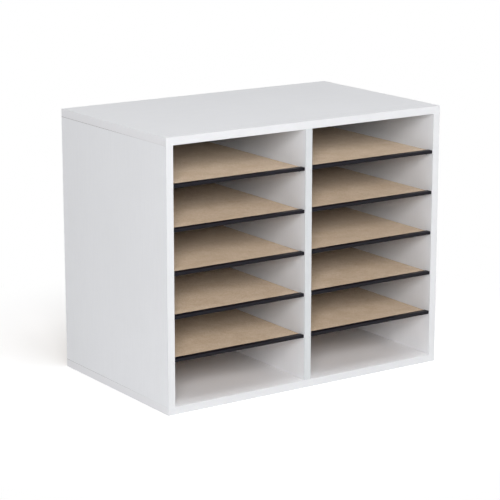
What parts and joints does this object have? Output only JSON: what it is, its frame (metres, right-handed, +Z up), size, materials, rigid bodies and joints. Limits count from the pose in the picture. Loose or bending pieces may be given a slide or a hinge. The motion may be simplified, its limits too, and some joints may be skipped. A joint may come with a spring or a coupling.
{
  "type": "literature organizer",
  "caption": "White desktop literature organizer with two columns of open compartments and loose brown hardboard shelves with black front trims.",
  "frame": {"origin": "middle of the underside, on the surface that it stands on", "axes": "+X to the right seen from the front, +Y to the back, +Z up; the compartments open towards -Y"},
  "size_m": [0.495, 0.3, 0.408],
  "materials": {
    "white_board": "white melamine-faced chipboard, satin",
    "white_edge_band": "white edge band, satin",
    "brown_hardboard": "smooth tempered hardboard, matt",
    "brown_fibreboard": "thin brown fibreboard, matt",
    "black_trim": "extruded black plastic, satin",
    "black_pin": "moulded black plastic, matt",
    "beech_dowel": "bare beech",
    "zinc_screw": "zinc-plated steel",
    "steel_staple": "bright steel"
  },
  "bodies": {
    "casing": {"top_panel": "white_board", "bottom_panel": "white_board", "left_side_panel": "white_board", "right_side_panel": "white_board", "centre_divider": "white_board", "back_panel": "brown_fibreboard", "top_edge_bands": "white_edge_band", "bottom_edge_bands": "white_edge_band", "left_side_edge_band": "white_edge_band", "divider_edge_band": "white_edge_band", "right_side_edge_band": "white_edge_band", "top_dowels": "beech_dowel", "bottom_dowels": "beech_dowel", "bottom_screws": "zinc_screw", "back_staples": "steel_staple", "left_pins_1": "black_pin", "left_pins_2": "black_pin", "left_pins_3": "black_pin", "left_pins_4": "black_pin", "left_pins_5": "black_pin", "right_pins_1": "black_pin", "right_pins_2": "black_pin", "right_pins_3": "black_pin", "right_pins_4": "black_pin", "right_pins_5": "black_pin"},
    "left_shelf_unit_1": {"left_shelf_1": "brown_hardboard", "left_trim_1": "black_trim"},
    "left_shelf_unit_2": {"left_shelf_2": "brown_hardboard", "left_trim_2": "black_trim"},
    "left_shelf_unit_3": {"left_shelf_3": "brown_hardboard", "left_trim_3": "black_trim"},
    "left_shelf_unit_4": {"left_shelf_4": "brown_hardboard", "left_trim_4": "black_trim"},
    "left_shelf_unit_5": {"left_shelf_5": "brown_hardboard", "left_trim_5": "black_trim"},
    "right_shelf_unit_1": {"right_shelf_1": "brown_hardboard", "right_trim_1": "black_trim"},
    "right_shelf_unit_2": {"right_shelf_2": "brown_hardboard", "right_trim_2": "black_trim"},
    "right_shelf_unit_3": {"right_shelf_3": "brown_hardboard", "right_trim_3": "black_trim"},
    "right_shelf_unit_4": {"right_shelf_4": "brown_hardboard", "right_trim_4": "black_trim"},
    "right_shelf_unit_5": {"right_shelf_5": "brown_hardboard", "right_trim_5": "black_trim"}
  },
  "joints": [
    {"name": "left_shelf_1_pull_out", "type": "slide", "parent": "casing", "child": "left_shelf_unit_1", "axis": [0, -1, 0], "range_m": [0, 0.3]},
    {"name": "left_shelf_2_pull_out", "type": "slide", "parent": "casing", "child": "left_shelf_unit_2", "axis": [0, -1, 0], "range_m": [0, 0.3]},
    {"name": "left_shelf_3_pull_out", "type": "slide", "parent": "casing", "child": "left_shelf_unit_3", "axis": [0, -1, 0], "range_m": [0, 0.3]},
    {"name": "left_shelf_4_pull_out", "type": "slide", "parent": "casing", "child": "left_shelf_unit_4", "axis": [0, -1, 0], "range_m": [0, 0.3]},
    {"name": "left_shelf_5_pull_out", "type": "slide", "parent": "casing", "child": "left_shelf_unit_5", "axis": [0, -1, 0], "range_m": [0, 0.3]},
    {"name": "right_shelf_1_pull_out", "type": "slide", "parent": "casing", "child": "right_shelf_unit_1", "axis": [0, -1, 0], "range_m": [0, 0.3]},
    {"name": "right_shelf_2_pull_out", "type": "slide", "parent": "casing", "child": "right_shelf_unit_2", "axis": [0, -1, 0], "range_m": [0, 0.3]},
    {"name": "right_shelf_3_pull_out", "type": "slide", "parent": "casing", "child": "right_shelf_unit_3", "axis": [0, -1, 0], "range_m": [0, 0.3]},
    {"name": "right_shelf_4_pull_out", "type": "slide", "parent": "casing", "child": "right_shelf_unit_4", "axis": [0, -1, 0], "range_m": [0, 0.3]},
    {"name": "right_shelf_5_pull_out", "type": "slide", "parent": "casing", "child": "right_shelf_unit_5", "axis": [0, -1, 0], "range_m": [0, 0.3]}
  ]
}
